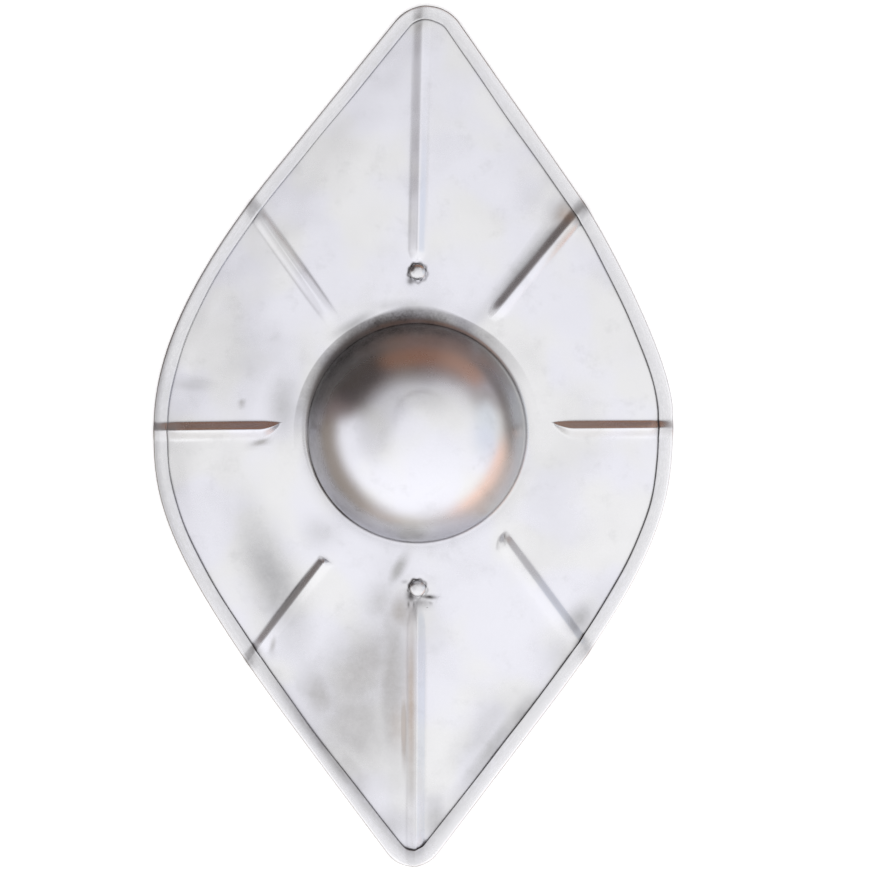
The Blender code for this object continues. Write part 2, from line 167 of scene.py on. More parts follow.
def smooth(low, high, value):
    share = np.clip((value - low) / (high - low), 0.0, 1.0)
    return share * share * (3 - 2 * share)


def bell(value, half):            # 1 at 0, fading on both sides
    return np.exp(-(value / half) ** 2)


def fromSide(side, at):           # how many degrees one side is from another
    return (side - at + 180) % 360 - 180


def heading(angle):
    return Vector((math.cos(angle), math.sin(angle)))


def polar(flat):                  # each point's distance from the origin, and its angle
    return np.hypot(flat[:, 0], flat[:, 1]), np.arctan2(flat[:, 1], flat[:, 0])


def addPiece(name, data):
    piece = bpy.data.objects.new(name, data)
    bpy.context.scene.collection.objects.link(piece)
    return piece


def roundFaces(rows, count):      # a fan, the bands between rows of points, and a closing fan
    last = 1 + (rows - 1) * count
    faces = [(0, 1 + i, 1 + (i + 1) % count) for i in range(count)]
    for inner in range(1, last, count):
        outer = inner + count
        faces += [(inner + i, outer + i, outer + (i + 1) % count, inner + (i + 1) % count)
                  for i in range(count)]
    return faces + [(last + count, last + (i + 1) % count, last + i) for i in range(count)]


def touchPoint(centre, radius, outside, hand):      # where a line from outside touches a circle
    reach = outside - centre
    angle = math.atan2(reach.y, reach.x) + hand * math.acos(radius / reach.length)
    return centre + radius * heading(angle)


def quarterOutline(end, side):    # from the arc at one end to the widest place; also that arc's centre
    up, right = 1 if end == "upper" else -1, 1 if side == "Right" else -1
    x, radius = plan[end + "Point"]
    centre = Vector((x, up * (plan["length"] / 2 - radius)))
    at, shoulderHandle, widestHandle = plan["shoulders"][end + side]
    shoulder = Vector(at)
    widest = Vector((right * plan["width"] / 2, plan[side.lower() + "Widest"]))
    start = touchPoint(centre, radius, shoulder, up * right)
    run = (shoulder - start).normalized()
    curve = interpolate_bezier(shoulder, shoulder + run * shoulderHandle,
                               widest + Vector((0.0, up * widestHandle)), widest, 120)
    return centre, [start] + [Vector(point[:2]) for point in curve]


def arcBetween(centre, start, end, steps):
    first, last = start - centre, end - centre
    begin = math.atan2(first.y, first.x)
    sweep = (math.atan2(last.y, last.x) - begin) % math.tau
    angles = (begin + sweep * step / steps for step in range(1, steps))
    return [centre + first.length * heading(angle) for angle in angles]


class Outline:                    # anticlockwise from the right side, measured by length and turning
    def __init__(self):
        upper, upperRight = quarterOutline("upper", "Right")
        upper, upperLeft = quarterOutline("upper", "Left")
        lower, lowerLeft = quarterOutline("lower", "Left")
        lower, lowerRight = quarterOutline("lower", "Right")
        path = upperRight[::-1]
        path += arcBetween(upper, upperRight[0], upperLeft[0], 64)
        path += upperLeft + lowerLeft[-2::-1]
        path += arcBetween(lower, lowerLeft[0], lowerRight[0], 64)
        path += lowerRight
        self.points = np.array([tuple(point) for point in path])
        lengths, bearings = polar(np.diff(self.points, axis=0))
        turns = np.concatenate(([0.0], np.abs(np.diff(np.unwrap(bearings)))))
        self.measures = np.concatenate(([0.0], np.cumsum(lengths + plan["turnWeight"] * turns)))
        self.total = self.measures[-1]
        self.hemPoints = np.array([tuple(self.hemLineAt(measure)) for measure in self.measures])

    def at(self, measure):
        along = measure % self.total
        return Vector((np.interp(along, self.measures, self.points[:, 0]),
                       np.interp(along, self.measures, self.points[:, 1])))

    def inward(self, measure):
        step = self.at(measure + 0.002) - self.at(measure - 0.002)
        return Vector((-step.y, step.x)).normalized()

    def hemAt(self, measure):     # the hem's width, wider at the lower point and never quite even
        below = min(max((-self.at(measure).y - sheet["extraFrom"]) / sheet["extraOver"], 0.0), 1.0)
        turn = measure * math.tau / self.total
        wander = math.sin(7 * turn + 0.6) + 0.7 * math.sin(13 * turn + 2.1) + 0.5 * math.sin(29 * turn)
        return sheet["hemWidth"] + sheet["hemExtraBelow"] * below + sheet["hemUneven"] * wander

    def hemLineAt(self, measure):
        return self.at(measure) + self.inward(measure) * self.hemAt(measure)

    def crossing(self, start, direction, path):     # the measure where a ray from inside crosses a path
        reach = path - np.array(start)
        aside = direction.x * reach[:, 1] - direction.y * reach[:, 0]
        ahead = reach @ np.array(direction)
        leaves = (aside[:-1] < 0) & (aside[1:] >= 0) & (ahead[:-1] > 0)
        index = int(np.argmax(leaves))
        share = aside[index] / (aside[index] - aside[index + 1])
        return self.measures[index] + share * (self.measures[index + 1] - self.measures[index])


def footCrossing(start, direction, radius):         # where a line running outward crosses the boss's foot
    reach = start - sheet["boss"]
    along = reach.dot(direction)
    back = along - math.sqrt(along ** 2 - reach.length_squared + radius ** 2)
    return start - direction * back


def byAngle(degrees, table):      # table: degrees anticlockwise from +X, and the value there
    return np.interp(degrees % 360, list(table), list(table.values()))


def coveRadius(angles):           # the cove round the boss is tight, and wider above the boss
    wide = bell(fromSide(np.degrees(angles), sheet["coveWideAt"]), sheet["coveSpread"])
    return sheet["coveTight"] + (sheet["cove"] - sheet["coveTight"]) * wide


def bossProfile(offset, cove, steps):     # (radius, drop) pairs; offset: 0 in front, the thickness behind
    domeSlope, wallSlope = math.radians(sheet["domeSlope"]), math.radians(sheet["wallSlope"])
    domeSteps, wallSteps, straightSteps, coveSteps = steps
    profile = [(0.0, 0.0)]

    def turn(reach, begin, end, count):   # an arc from one slope to another; below 0 it bends outward
        radius, drop = profile[-1]
        for step in range(1, count + 1):
            slope = begin + (end - begin) * step / count
            profile.append((radius + reach * (math.sin(slope) - math.sin(begin)),
                            drop + reach * (math.cos(begin) - math.cos(slope))))

    turn(sheet["domeRadius"] - offset, 0.0, domeSlope, domeSteps)
    turn(sheet["wallRadius"] - offset, domeSlope, wallSlope, wallSteps)
    radius, drop = profile[-1]
    straight = (sheet["cove"] - cove) * (1 - math.cos(wallSlope)) / math.sin(wallSlope)
    for step in range(1, straightSteps + 1):
        run = straight * step / straightSteps
        profile.append((radius + run * math.cos(wallSlope), drop + run * math.sin(wallSlope)))
    turn(-(cove + offset), wallSlope, 0.0, coveSteps)
    return profile[1:]


def ribSection(across, crest, foot):                # a rib's cross-section: 1 on the crest, 0 on the panels
    aside = abs(across)
    slope = 1 - (math.sqrt(aside ** 2 + crest ** 2) - crest) / (math.sqrt(1 + crest ** 2) - crest)
    rise = (slope + math.sqrt(slope ** 2 + foot ** 2)) / (1 + math.sqrt(1 + foot ** 2))
    return rise * float(smooth(1.7, 1.15, aside))


def ribRows(index, rib, footRadius):                # the mesh's lines along one rib, right to left
    crest = Vector(rib["through"])
    direction = heading(math.radians(rib["heading"]))
    left = Vector((-direction.y, direction.x))
    rows = []
    leanTo = left * (rib["lean"] * (rib["left"] if rib["lean"] > 0 else rib["right"]))
    for column in ribColumns:
        side, hand = ("left", 0) if column > 0 else ("right", 1)
        aside = left * (column * rib[side])
        foot = footCrossing(crest + aside, direction, footRadius)
        measure = outline.crossing(foot, direction, outline.points)
        rimMeasure = outline.crossing(foot, direction, outline.hemPoints)
        rim = outline.hemLineAt(rimMeasure)
        run = (rim - foot).length
        tip = (rib["tip"] - footRadius) / run
        rows.append({"measure": measure, "rimMeasure": rimMeasure, "foot": foot, "rim": rim,
                     "edge": outline.at(measure), "hem": outline.hemAt(measure),
                     "tip": tip, "full": tip + rib["rise"] / run, "column": column, "rib": index,
                     "aside": aside, "leanTo": leanTo, "keep": float(smooth(1.7, 1.1, abs(column))),
                     **{key: rib[key] for key in ("end", "height", "swell", "swellLength")},
                     **{key: rib[key][hand] for key in ("feet", "scuff")},
                     "section": ribSection(column, rib["crest"][hand], rib["soft"][hand])})
    return rows


def panelRows(first, last, footRadius):             # the lines of the flat panel between two ribs
    measures = (last["measure"] - first["measure"]) % outline.total
    rimMeasures = (last["rimMeasure"] - first["rimMeasure"]) % outline.total
    begin, finish = first["foot"] - sheet["boss"], last["foot"] - sheet["boss"]
    beginAngle = math.atan2(begin.y, begin.x)
    sweep = (math.atan2(finish.y, finish.x) - beginAngle) % math.tau
    flat = dict.fromkeys(("height", "swell", "keep", "feet", "scuff", "section"), 0.0)
    flat.update(column=9.0, rib=-1, end=1.0, swellLength=1.0, aside=Vector((0, 0)), leanTo=Vector((0, 0)))
    rows = []
    for step in range(1, sheet["panelLines"] + 1):
        share = step / (sheet["panelLines"] + 1)
        foot = sheet["boss"] + footRadius * heading(beginAngle + sweep * share)
        measure = first["measure"] + measures * share
        rows.append({**flat, "measure": measure, "foot": foot,
                     "rim": outline.hemLineAt(first["rimMeasure"] + rimMeasures * share),
                     "edge": outline.at(measure), "hem": outline.hemAt(measure),
                     **{key: first[key] + (last[key] - first[key]) * share for key in ("tip", "full")}})
    return rows


def column(rows, key):
    return np.array([tuple(row[key]) if isinstance(row[key], Vector) else row[key] for row in rows])


def waves(places, seed, count, shortest, longest):  # gentle unevenness, about 1 high
    draw = np.random.default_rng(seed)
    total = np.zeros(len(places))
    for _ in range(count):
        length = shortest * (longest / shortest) ** draw.random()
        angle = draw.random() * math.tau
        phase = draw.random() * math.tau
        along = places[:, 0] * math.cos(angle) + places[:, 1] * math.sin(angle)
        total += np.sin(along * math.tau / length + phase) * (length / longest)
    return total / math.sqrt(count / 2) * 1.6


class SheetLines:                 # all the lines of the sheet's mesh, and any ring across them
    def __init__(self):
        widest = bossProfile(0.0, sheet["cove"], (1, 1, 1, 1))
        self.footRadius, self.bossHeight = widest[-1]
        ribbed = [ribRows(index, rib, self.footRadius) for index, rib in enumerate(ribs)]
        rows = []
        for rib, following in zip(ribbed, ribbed[1:] + ribbed[:1]):
            rows += rib + panelRows(rib[-1], following[0], self.footRadius)
        self.count = len(rows)
        for key in rows[-1]:      # what every line has, on a rib or in a panel
            setattr(self, key, column(rows, key))
        self.run = np.linalg.norm(self.rim - self.foot, axis=1)
        self.footAngle = np.unwrap(polar(self.foot - np.array(sheet["boss"]))[1])
        even = math.tau * np.arange(self.count) / self.count
        self.evenAngle = even + np.mean(self.footAngle - even)
        self.cove = coveRadius(self.footAngle)
        self.side = np.degrees(polar(self.edge - np.array(sheet["boss"]))[1])    # degrees round the boss

    def onBoss(self, radius, drop):         # one radius and drop below the crown for each line
        share = smooth(0.010, 0.066, radius)
        angle = self.evenAngle * (1 - share) + self.footAngle * share
        places = np.empty((self.count, 3))
        places[:, 0] = sheet["boss"].x + radius * np.cos(angle)
        places[:, 1] = sheet["boss"].y + radius * np.sin(angle)
        places[:, 2] = sheet["dish"] + self.bossHeight - drop
        return places

    def onPlate(self, part, step, rise):
        # part 0: from the boss to the ribs' ends, 1: where they rise, 2: on to the hem
        marks = (np.zeros(self.count), self.tip, self.full, np.ones(self.count))
        share = marks[part] + (marks[part + 1] - marks[part]) * step
        risen = 1 - (1 - np.clip((share - self.tip) / (self.full - self.tip), 0.0, 1.0)) ** 1.6
        toTip = smooth(0.0, 1.0, share / self.tip)
        spread = np.where(share < self.tip, 1 + (self.end - 1) * toTip, self.end + (1 - self.end) * risen)
        flat = self.foot + (self.rim - self.foot) * share[:, None]
        flat += self.aside * ((spread - 1) * self.keep)[:, None]
        flat += self.leanTo * (np.clip(1 - spread, 0.0, 1.0) * self.keep)[:, None]
        toHem = smooth(0.007, 0.0, (1 - share) * self.run)
        swollen = 1 + self.swell * smooth(1.0, 0.3, (1 - share) * self.run / self.swellLength)
        height = self.height * swollen * (1 + (sheet["ribAtHem"] - 1) * toHem) * risen
        places = np.empty((self.count, 3))
        places[:, :2] = flat
        places[:, 2] = sheet["dish"] * (1 - share ** sheet["dishPower"]) + height * self.section + rise
        window = smooth(0.0, 0.12, share) * smooth(1.0, 0.86, share)
        places[:, 2] += sheet["wave"] * window * plateWave(flat)
        return places, share

    def onHem(self, inset, height):         # inset: from the outer edge, one number or one for each line
        share = inset / self.hem
        places = np.empty((self.count, 3))
        places[:, :2] = self.edge + (self.rim - self.edge) * np.reshape(share, (-1, 1))
        lift = sheet["ribAtEdge"] + (sheet["ribAtHem"] - sheet["ribAtEdge"]) * share
        places[:, 2] = height + lift * self.height * self.section
        return places


def plateWave(flat):
    return waves(flat, 11, 9, 0.050, 0.150) + 0.35 * waves(flat, 12, 12, 0.022, 0.050)


def sheetRings(lines):
    # Rings from the crown down the front, under the hem's flap, over its cut edge, its top and the
    # outer fold, and back along the rear face, each with its grime and painted shade, whether it is hem,
    # how much its fold is worn and painted pale, and how far in from the outer edge it lies.
    rings, layers = [], {"grimeAndShade": [], "hem": [], "fold": [], "inset": []}
    ones = np.ones(lines.count)
    thick = sheet["thickness"]
    turn = thick + sheet["hemGap"] / 2
    ribShadeAtHem, rubbed = (np.array([rib[key] for rib in ribs] + [0.0])[lines.rib] * bell(lines.column, 0.95)
                      for key in ("ribShadeAtHem", "rubbed"))
    lineGrimeAndShade, foldWearAndSheen, foldGrimeAndShade, plateShade, hemShade, edgeGrimeAndShade = (
        byAngle(lines.side, sheet[key])
        for key in ("lineGrimeAndShade", "foldWearAndSheen", "foldGrimeAndShade", "plateShade", "hemShade", "edgeGrimeAndShade"))
    noseAt, noseSpread = sheet["noseRoundAt"]
    nose = sheet["noseFlat"] + sheet["noseRound"] * bell(fromSide(lines.side, noseAt), noseSpread)
    least, more, bendAt, bendSpread = sheet["edgeRound"]
    bend = least + more * bell(fromSide(lines.side, bendAt), bendSpread)

    def across(share):            # from the fold's inner side to the hem's inner line
        return turn + (lines.hem - turn) * share

    def add(places, grimeAndShade, hem=0.0, fold=0.0, inset=0.0):
        rings.append(places)
        for layer, value in zip(layers.values(), (grimeAndShade, hem, fold, inset)):
            layer.append(ones * value)

    front = bossProfile(0.0, lines.cove, bossSteps)
    for share in (0.25, 0.5, 0.75, 1.0):
        radius, drop = front[sum(bossSteps) - 1]
        front.append((radius + (lines.footRadius - radius) * share, drop))
    for radius, drop in front:
        places = lines.onBoss(radius, drop)
        places[:, 2] += thick
        grimeAndShade = ones * 0.0
        # grime and painted shade round the boss's foot
        for key in ("cornerGrimeAndShade", "wallGrimeAndShade", "coveGrimeAndShade"):
            middle, half, strengths = sheet[key]
            strength = byAngle(np.degrees(lines.footAngle), strengths)
            grimeAndShade = np.maximum(grimeAndShade, strength * bell(radius - middle, half))
        add(places, grimeAndShade)
    for part, steps in enumerate(plateSteps):
        for step in range(1, steps + 1):
            ahead = step / steps
            if part == 2:
                ahead = 1 - (1 - ahead) ** 1.3
            places, share = lines.onPlate(part, ahead, thick)
            toRim = (1 - share) * lines.run
            feet = lines.feet * bell(np.abs(lines.column) - 0.96, 0.16) \
                * smooth(0.0, 0.35, share - lines.tip) * np.clip(1.4 * (1 - share), 0.0, 1.0)
            scuff = lines.scuff * smooth(1.0, 0.8, np.abs(lines.column)) * (share > lines.tip) \
                + 0.6 * rubbed * bell(toRim, sheet["rubbedReach"])
            # painted shade along the hem's inner line, where the ribs cross it, at the ribs' feet and
            # beside the line, with grime
            add(places, np.exp(-toRim / sheet["lineWidth"]) * lineGrimeAndShade
                + 0.7 * ribShadeAtHem * bell(toRim, sheet["ribShadeReach"]) + feet
                + 0.6 * plateShade * np.exp(-toRim / sheet["plateShadeReach"]),
                fold=scuff, inset=lines.hem + np.minimum(toRim, 0.02))
    # under the hem's flap, in its gap and on its cut edge the sheet is painted dark: painted shade in the
    # crevice
    for share in (0.7, 0.4):
        add(lines.onHem(across(share), thick), 1.0)
    inner = sheet["hemGap"] / 2
    for angle in np.radians((-90, -45, 0, 45, 90)):
        add(lines.onHem(ones * (turn - inner * math.cos(angle)), turn + inner * math.sin(angle)), 1.0)
    under, top = 2 * turn - thick, 2 * turn
    lip = sheet["lipRound"]
    for share in (0.4, 0.7):
        add(lines.onHem(across(share), under), 1.0)
    for angle in np.radians((-90, -60, -30, 0)):
        add(lines.onHem(lines.hem - lip * (1 - math.cos(angle)), under + lip * (1 + math.sin(angle))),
            0.9 * lineGrimeAndShade)
    around = lines.measure * math.tau / outline.total
    ripple = sheet["hemRipple"] * (np.sin(11 * around + 1) + np.sin(23 * around + 2) + np.sin(37 * around))
    # on the hem's cut edge, top and outer fold: painted shade beside the line, at the ribs and on the edge,
    # with grime; the fold worn and painted pale as a reflection of the floor
    for step in range(5):
        angle = math.radians(22.5 * step)
        inset = lines.hem - bend * (1 - math.cos(angle))
        places = lines.onHem(inset, top - bend * (1 - math.sin(angle)))
        places[:, 2] += ripple * step / 4
        add(places, np.maximum((0.80 - 0.18 * step) * lineGrimeAndShade, hemShade), 0.3 + 0.15 * step, inset=inset)
    for step in range(1, 10):
        share = step / 9
        inset = (lines.hem - bend) * (1 - share) + nose * share
        places = lines.onHem(inset, top)
        places[:, 2] += ripple * (1 - share)
        shade = hemShade * bell(lines.hem - inset, sheet["hemShadeReach"])
        add(places, ribShadeAtHem * (0.35 + 0.45 * share) + shade
            + foldGrimeAndShade * 0.3 * float(smooth(0.7, 1.0, share)), 1.0,
            foldWearAndSheen * 0.5 * share ** 2 + rubbed, inset)
    for step in range(1, 13):
        angle = math.radians(90 - 15 * step)
        reach = nose if angle > 0 else turn
        inset = ones * reach * (1 - math.cos(angle))
        add(lines.onHem(inset, turn + turn * math.sin(angle)),
            ribShadeAtHem * 0.7 + foldGrimeAndShade * (0.3 + 0.7 * float(smooth(0.1, 0.6, step / 12)))
            + edgeGrimeAndShade * float(smooth(2.0, 4.5, step)), 1.0, foldWearAndSheen + rubbed, inset)
    for share in (0.35, 0.7):
        add(lines.onHem(across(share), 0.0), 0.1)
    # behind, painted shade darkens the creases along the ribs' feet
    for part, steps in ((2, 18), (1, 5), (0, 6)):       # back down the rear face
        for step in range(steps, 0, -1):
            places, share = lines.onPlate(part, step / steps, 0.0)
            add(places, 0.3 * bell(np.abs(lines.column) - 1.0, 0.2) * (share > lines.tip))
    add(lines.onBoss(ones * lines.footRadius, lines.bossHeight), 0.0)
    for radius, drop in bossProfile(thick, lines.cove, (14, 4, 2, 7))[::-1]:
        add(lines.onBoss(radius, drop), 0.0)
    return rings, layers


crownMark = {"middle": (0.0034, 0.0088), "radius": 0.0175, "width": 0.0035, "depth": 0.00026}


def dentSheet(places):            # the boss is raised by hand: its crown carries a faint round edge
    reach = places[:, :2] - np.array(sheet["boss"])
    radius = polar(reach)[0]
    front = places[:, 2] > 0.030
    onDome = smooth(0.070, 0.055, radius) * front
    uneven = waves(places[:, :2], 21, 8, 0.030, 0.080)
    places[:, 2] += sheet["domeWave"] * onDome * uneven
    ring = reach - np.array(crownMark["middle"])
    away = polar(ring)[0] - crownMark["radius"]
    above = smooth(-0.010, 0.008, ring[:, 1])
    places[:, 2] -= crownMark["depth"] * smooth(0.0, 1.0, np.clip(away / crownMark["width"] + 0.5, 0, 1)) \
        * smooth(0.030, 0.006, away) * above * onDome


# Soft dark patches on the front: real stains, painted shade round the boss and along the upper right rib,
# and a painted warm reflection beside that rib. Middle and half lengths in millimetres, turn in degrees,
# strength, how warm in colour
stainsAndShade = [
    ((-34.5, -157), (42, 24), 52, 1.05, 0.1),
    ((-40, -192), (31, 42), 10, 0.95, 0.1),
    ((-62, -175), (13, 22), 20, 0.95, 0.1),
    ((-14, -165), (13, 58), 0, 1.15, 0.1),
    ((-6.2, -196), (2, 26), 0, 1.7, 0.35),
    ((-1.5, -178), (3.6, 58), 0, 1.0, 0.9),
    ((-8.5, -118), (9.5, 14), 0, 1.15, 0.2),
    ((-13, -261), (14, 12), 0, 0.65, 0.0),
    ((15, -259), (8, 16), 0, 0.90, 0.0),
    ((47, -200), (30, 12), 54, 0.55, 0.0),
    ((100, -144), (16, 10), 54, 0.40, 0.0),
    ((-44, -218), (28, 10), -54, 0.80, 0.1),
    ((-9.8, -89), (4, 11), -28, 1.25, 0.0),
    ((-22, -112), (16, 12), 60, 0.7, 0.1),
    ((-95, -95), (15, 46), 22, 1.05, 0.0),
    ((-63, -64), (12, 10), 0, 0.42, 0.0),
    ((-10, -195), (7, 16), 0, 0.8, 0.5),
    ((-113, 58), (20, 26), 0, 0.28, 0.0),
    # painted shade round the left of the boss
    ((-87, 20), (10, 20), 0, 0.75, 0.0),
    # painted shade above the boss's foot
    ((-5.6, 87.1), (20, 4), 0, 0.50, 0.0),
    ((53.5, -209.5), (38, 7), 54, 0.95, 0.0),
    ((70, -190), (20, 6), 54, 0.85, 0.0),
    # painted shade along the upper left side of the upper right rib
    ((80.8, 123.4), (50, 4.6), 50, 0.90, 0.0),
    ((124, -110), (22, 9), 55, 0.28, 0.0),
    ((104.5, 148), (7.5, 6.2), 46, 1.15, 1.0),
    ((99, 150.5), (11, 6.2), 50, 1.15, 0.3),
    # painted warm reflection beside the upper right rib
    ((100.5, 131.5), (19, 2.8), 53, 0.60, 2.0),
    ((79, 160), (10, 7), 30, 0.15, 0.3),
    ((-40, 75), (14, 3.6), 30, 1.0, 0.0),
    ((-148, 35), (14, 4), 0, 0.6, 0.0),
    ((112, -122.5), (11.5, 7.5), 55, 1.05, 0.0),
    ((-60, 245), (14, 10), 50, 0.25, 0.0),
    ((-102, -4), (7.2, 2), 14, 1.2, 0.1),
    ((-115, 22), (2.2, 2.4), 0, 1.2, 0.1),
    ((-94.5, -140.5), (2, 6.2), -12, 0.9, 0.1),
    ((-86.5, -106.5), (2.4, 2.6), 0, 0.8, 0.0),
]


def spot(reach, middle, halves, turn):      # an oval spot, 1 in its middle; reach in metres
    reach = reach * 1000 - np.array(middle)
    angle = math.radians(turn)
    along = reach[:, 0] * math.cos(angle) + reach[:, 1] * math.sin(angle)
    across = -reach[:, 0] * math.sin(angle) + reach[:, 1] * math.cos(angle)
    return np.exp(-(along / halves[0]) ** 2 - (across / halves[1]) ** 2)


def stainAndShadeAt(places):              # strength of stain and painted shade, and warmth of brown stain and painted warm reflection
    total, brownAndWarmReflection = np.zeros(len(places)), np.zeros(len(places))
    for middle, halves, turn, strength, warmth in stainsAndShade:
        stainAndShade = strength * spot(places[:, :2], middle, halves, turn)
        brownAndWarmReflection = np.maximum(brownAndWarmReflection, warmth * stainAndShade)
        total = np.maximum(total, stainAndShade)
    return total, brownAndWarmReflection


rivet = {
    "x": 0.0029,
    "above": 0.1078, "below": 0.1041,      # from the middle of the boss
    "hole": 0.0030,
    "bed": 0.00030, "bedRadius": (0.0058, 0.0052),     # how far the sheet is sunk under each head
    "drillSides": 44, "drillDepth": 0.020, "drillTurn": 0.07, "rimMerge": 0.00004,
    "fineWithin": 0.016,          # how far round a rivet the sheet's mesh is finer
    "shank": 0.0027,
    "headRadius": 0.0055, "headHeight": 0.0026, "headSeat": 0.0095,
    "tailRadius": 0.0042, "tailHeight": 0.0014,
    "marks": 0.00004,             # depth of the hammer's marks on the head, and on the tail
    "tailMarks": 0.00006,
    "sides": 64,
}

upperPlace = Vector((rivet["x"], sheet["boss"].y + rivet["above"]))
lowerPlace = Vector((rivet["x"], sheet["boss"].y - rivet["below"]))
# Marks of the hammer round the rivets, in millimetres: middle from the rivet, half lengths, turn in
# degrees, depth, how dark they are painted
lowerMarks = [
    ((-4.6, -5.4), (2.7, 4), 18, 0.3, 0.90),
    ((7.8, -5.8), (4.4, 1.4), -3, 0.3, 1.0),
    ((3.2, -9.6), (6.2, 3.2), -8, 0.04, 0.42),
    ((8.5, -9.8), (2.4, 1.2), -30, 0.12, 0.45),
    ((-8.5, 4.4), (2.2, 1.2), 0, 0.12, 0.35),
    ((-6, -10.5), (0.9, 3), 0, 0.12, 0.65),
    ((-2.6, -10.5), (0.8, 2.8), 0, 0.12, 0.50),
]
upperMarks = [
    ((-5, -5.8), (2, 2.2), 20, 0.3, 0.8),
    ((1.2, 5.2), (1.6, 1), 0, 0.1, 0.5),
]
rivetRing = {"radius": 0.0060, "width": 0.0010, "depth": 0.00060}


def ringShade(reach):          # painted shade in the ring round a rivet's head, darkest at its upper left
    return np.clip(0.62 + 0.46 * np.cos(polar(reach)[1] - math.radians(135)), 0.0, 1.0)


def aroundRivets(places):         # how far the sheet sinks round each rivet, and how much grime and painted shade darken it
    sink = np.zeros(len(places))
    dirtAndShade = np.zeros(len(places))
    for centre, marks in ((upperPlace, upperMarks), (lowerPlace, lowerMarks)):
        reach = places[:, :2] - np.array(centre)
        radius, angle = polar(reach)
        scallop = 0.00030 * np.cos(9 * angle + 0.7) + 0.00022 * np.cos(5 * angle + 2.0)
        groove = bell(radius - rivetRing["radius"] - scallop, rivetRing["width"])
        sink += rivetRing["depth"] * groove + rivet["bed"] * smooth(*rivet["bedRadius"], radius)
        dirtAndShade = np.maximum(dirtAndShade, groove * ringShade(reach))
        for middle, halves, turn, depth, grimeAndShade in marks:
            mark = spot(reach, middle, halves, turn)
            sink += depth / 1000 * mark
            dirtAndShade = np.maximum(dirtAndShade, grimeAndShade * mark)
    return sink, dirtAndShade


def meshArray(mesh, name=None):   # the vertices' places, or one value at each
    data, size = (mesh.attributes[name].data, 1) if name else (mesh.vertices, 3)
    values = np.empty(len(data) * size)
    data.foreach_get("value" if name else "co", values)
    return values if name else values.reshape(-1, 3)


def setAttribute(mesh, name, values):
    made = mesh.attributes.get(name) or mesh.attributes.new(name, "FLOAT", "POINT")
    made.data.foreach_set("value", values.astype(np.float32))


def buildSheet():
    lines = SheetLines()
    rings, layers = sheetRings(lines)
    count = lines.count
    crownFront = (*sheet["boss"], sheet["dish"] + lines.bossHeight + sheet["thickness"])
    crownBack = (*sheet["boss"], sheet["dish"] + lines.bossHeight)
    places = np.vstack([np.array([crownFront])] + rings + [np.array([crownBack])])
    front = np.zeros(len(places))
    frontRings = sum(bossSteps) + 4 + sum(plateSteps)
    front[:1 + frontRings * count] = 1.0
    dentSheet(places)
    mesh = bpy.data.meshes.new("domedSheet")
    mesh.from_pydata(places.tolist(), [], roundFaces(len(rings), count))
    setAttribute(mesh, "front", front)
    for name, values in layers.items():
        setAttribute(mesh, name, np.concatenate([[0.0]] + values + [[0.0]]))
    around = lines.measure * math.tau / outline.total
    for name, values in (("aroundX", np.cos(around)), ("aroundY", np.sin(around))):
        setAttribute(mesh, name, np.concatenate([[0.0], np.tile(values, len(rings)), [0.0]]))
    refineNearRivets(mesh)
    places = meshArray(mesh)
    # grime and painted shade round the rivets
    sink, dirtAndShade = aroundRivets(places)
    face = meshArray(mesh, "front") > 0.99
    places[:, 2] -= sink * face
    setAttribute(mesh, "grimeAndShade", np.maximum(meshArray(mesh, "grimeAndShade"), dirtAndShade * face))
    # stains, painted shade and a painted warm reflection
    stainedAndShaded, brownAndWarmReflection = stainAndShadeAt(places)
    setAttribute(mesh, "stainAndShade", stainedAndShaded * face)
    setAttribute(mesh, "brownAndWarmReflection", brownAndWarmReflection * face)
    fitToFrame(places)
    mesh.vertices.foreach_set("co", places.ravel())
    mesh.update()
    mesh.shade_smooth()
    return addPiece("domedSheet", mesh)


def refineNearRivets(mesh):
    cage = bmesh.new()
    cage.from_mesh(mesh)
    layer = cage.verts.layers.float["front"]
    for middle in (upperPlace, lowerPlace):
        close = [edge for edge in cage.edges
                 if all(vert[layer] > 0.99 and (vert.co.xy - middle).length < rivet["fineWithin"]
                        for vert in edge.verts)]
        bmesh.ops.subdivide_edges(cage, edges=close, cuts=3, use_grid_fill=True)
    cage.to_mesh(mesh)
    cage.free()


def fitToFrame(places):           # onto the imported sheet's own box
    low, high = places.min(axis=0), places.max(axis=0)
    boxLow, boxHigh = np.array(shieldLow), np.array(shieldHigh)
    places[:] = boxLow + (places - low) * ((boxHigh - boxLow) / (high - low))


outline = Outline()
domedSheet = buildSheet()
print("sheet:", len(domedSheet.data.vertices), "vertices")


strap = {
    "top": 0.0069, "thickness": 0.0030,
    "endRadius": 0.013,
    "waistHalfWidth": 0.0105, "waistHalfLength": 0.045,
    "clearance": 0.0003,
    "voxel": 0.0008,
    "marks": 0.00008,
}


def arcPoints(centre, radius, begin, end, steps):
    angles = (math.radians(begin + (end - begin) * step / steps) for step in range(steps + 1))
    return [(centre[0] + radius * math.cos(a), centre[1] + radius * math.sin(a)) for a in angles]


def closedSpline(curve, points):
    spline = curve.splines.new("POLY")
    spline.points.add(len(points) - 1)
    for slot, (x, y) in zip(spline.points, points):
        slot.co = (x, y, 0.0, 1.0)
    spline.use_cyclic_u = True


def applied(thing, name):         # the object's evaluated mesh as a new plain mesh object
    bpy.context.view_layer.update()
    graph = bpy.context.evaluated_depsgraph_get()
    mesh = bpy.data.meshes.new_from_object(thing.evaluated_get(graph))
    mesh.transform(thing.matrix_world)
    bpy.data.objects.remove(thing)
    mesh.name = name
    return addPiece(name, mesh)


